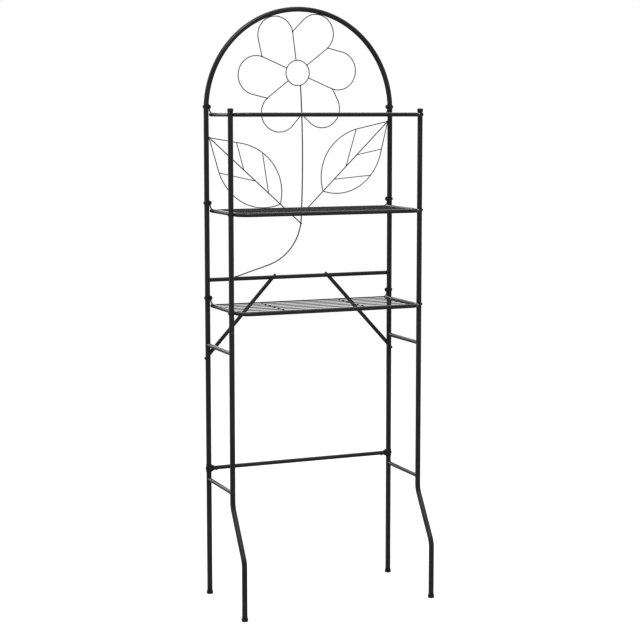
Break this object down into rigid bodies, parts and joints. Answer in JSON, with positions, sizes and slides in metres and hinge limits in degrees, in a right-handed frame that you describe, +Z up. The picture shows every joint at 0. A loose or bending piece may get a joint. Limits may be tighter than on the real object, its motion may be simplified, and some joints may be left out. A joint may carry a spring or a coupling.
{
  "type": "over_the_toilet_storage_rack",
  "caption": "Free-standing over-the-toilet storage rack in black painted steel tube, with an arched back, a wire flower with stem and leaves, three wire shelves and open side frames.",
  "frame": {"origin": "on the floor, midway between the four feet", "axes": "+Z up, -Y is the front where the shelves reach out, +X is the right side seen from the front"},
  "size_m": [0.5386, 0.2774, 1.5264],
  "materials": {
    "frame_paint": "satin",
    "wire_paint": "satin",
    "black_plastic": "matte",
    "black_steel": "satin",
    "zinc_steel": "satin"
  },
  "bodies": {
    "root": {"back_frame": "frame_paint", "crossbar": "frame_paint", "rear_leg_left": "frame_paint", "rear_leg_right": "frame_paint", "front_leg_left": "frame_paint", "front_leg_right": "frame_paint", "front_post_left": "frame_paint", "front_post_right": "frame_paint", "upper_rung_left": "frame_paint", "upper_rung_right": "frame_paint", "lower_rung_left": "frame_paint", "lower_rung_right": "frame_paint", "stretcher": "frame_paint", "stretcher_saddle_left": "black_plastic", "stretcher_saddle_right": "black_plastic", "stretcher_washers": "black_plastic", "brace_left": "frame_paint", "brace_right": "frame_paint", "sleeve_rear_left": "zinc_steel", "sleeve_rear_right": "zinc_steel", "sleeve_front_left": "zinc_steel", "sleeve_front_right": "zinc_steel", "foot_rear_left": "black_plastic", "foot_rear_right": "black_plastic", "foot_front_left": "black_plastic", "foot_front_right": "black_plastic", "post_cap_left": "black_plastic", "post_cap_right": "black_plastic", "bottom_shelf_frame": "frame_paint", "bottom_shelf_rear_rod": "wire_paint", "bottom_shelf_wires": "wire_paint", "bottom_shelf_cross_wires": "wire_paint", "middle_shelf_frame": "frame_paint", "middle_shelf_rear_rod": "wire_paint", "middle_shelf_wires": "wire_paint", "middle_shelf_cross_wires": "wire_paint", "top_shelf_frame": "frame_paint", "top_shelf_rear_rod": "wire_paint", "top_shelf_wires": "wire_paint", "top_shelf_cross_wires": "wire_paint", "flower_ring": "wire_paint", "petal_upper_right": "wire_paint", "petal_upper_left": "wire_paint", "petal_left": "wire_paint", "petal_lower_left": "wire_paint", "petal_lower_right": "wire_paint", "petal_right": "wire_paint", "flower_stem": "wire_paint", "leaf_left": "wire_paint", "leaf_left_ribs": "wire_paint", "leaf_right": "wire_paint", "leaf_right_ribs": "wire_paint", "rear_shelf_bolts": "black_steel", "front_shelf_bolts": "black_steel", "brace_bolts": "black_steel", "stretcher_bolts": "black_steel", "stretcher_screws": "black_steel", "brace_screws": "black_steel", "hex_nuts": "black_steel"}
  },
  "joints": []
}
